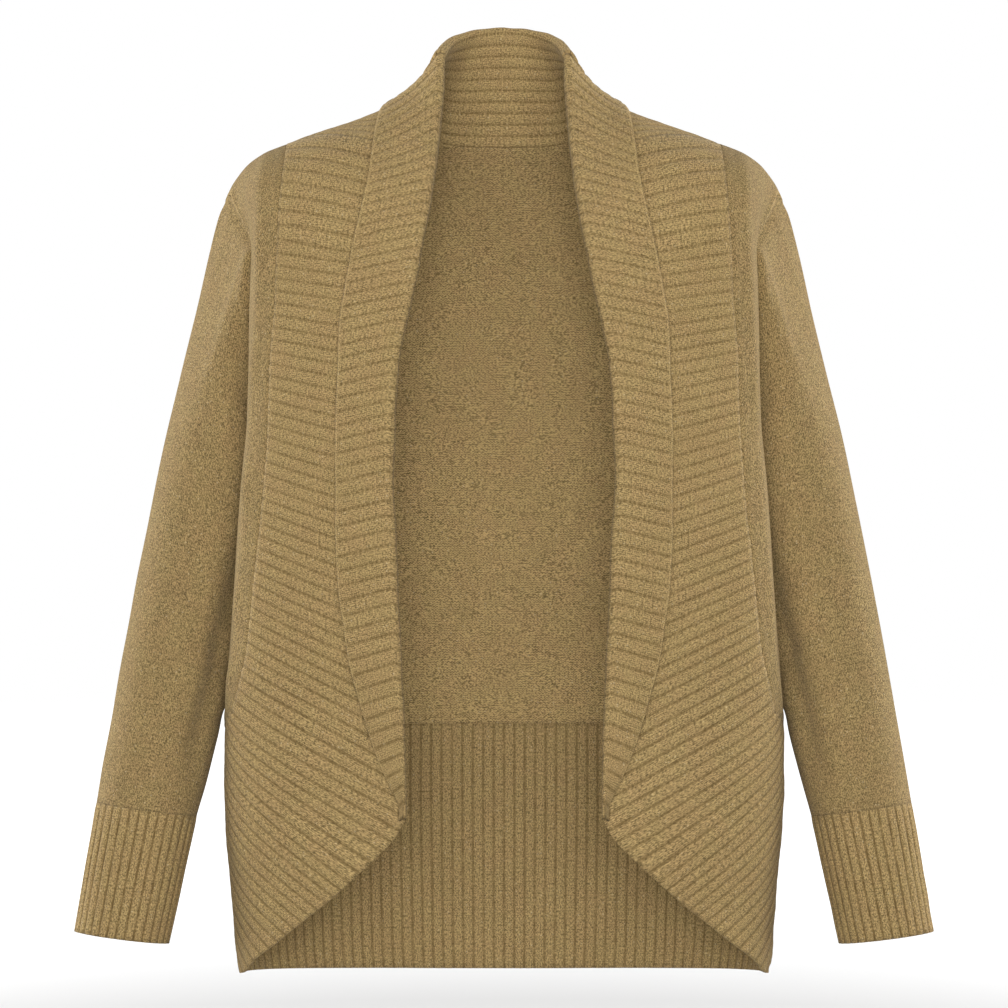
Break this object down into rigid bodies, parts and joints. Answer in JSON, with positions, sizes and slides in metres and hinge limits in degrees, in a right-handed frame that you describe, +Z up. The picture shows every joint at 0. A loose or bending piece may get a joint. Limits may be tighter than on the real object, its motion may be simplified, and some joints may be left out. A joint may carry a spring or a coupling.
{
  "type": "open-front v-neck cardigan with shawl collar",
  "caption": "Knitted long-sleeved cardigan, open in a deep V, with a turned-back ribbed shawl collar, rounded front corners, ribbed hem and cuffs.",
  "frame": {"origin": "between the shoulders, on the garment's middle plane, level with the neck ends of the shoulder seams", "axes": "+X towards the wearer's left, +Y from front to back, +Z up"},
  "size_m": [0.6806, 0.2483, 0.7556],
  "materials": {
    "back": "plain knit, camel heather",
    "back_hem_rib": "rib knit, camel heather",
    "front_left": "plain knit, camel heather",
    "front_right": "plain knit, camel heather",
    "band_left": "rib knit, camel heather",
    "band_right": "rib knit, camel heather",
    "collar_back": "rib knit, camel heather",
    "sleeve_left": "plain knit, camel heather",
    "sleeve_right": "plain knit, camel heather",
    "cuff_left": "rib knit, camel heather",
    "cuff_right": "rib knit, camel heather"
  },
  "bodies": {
    "root": {"back": "back", "back_hem_rib": "back_hem_rib", "front_left": "front_left", "front_right": "front_right", "band_left": "band_left", "band_right": "band_right", "collar_back": "collar_back", "sleeve_left": "sleeve_left", "sleeve_right": "sleeve_right", "cuff_left": "cuff_left", "cuff_right": "cuff_right"}
  },
  "joints": []
}
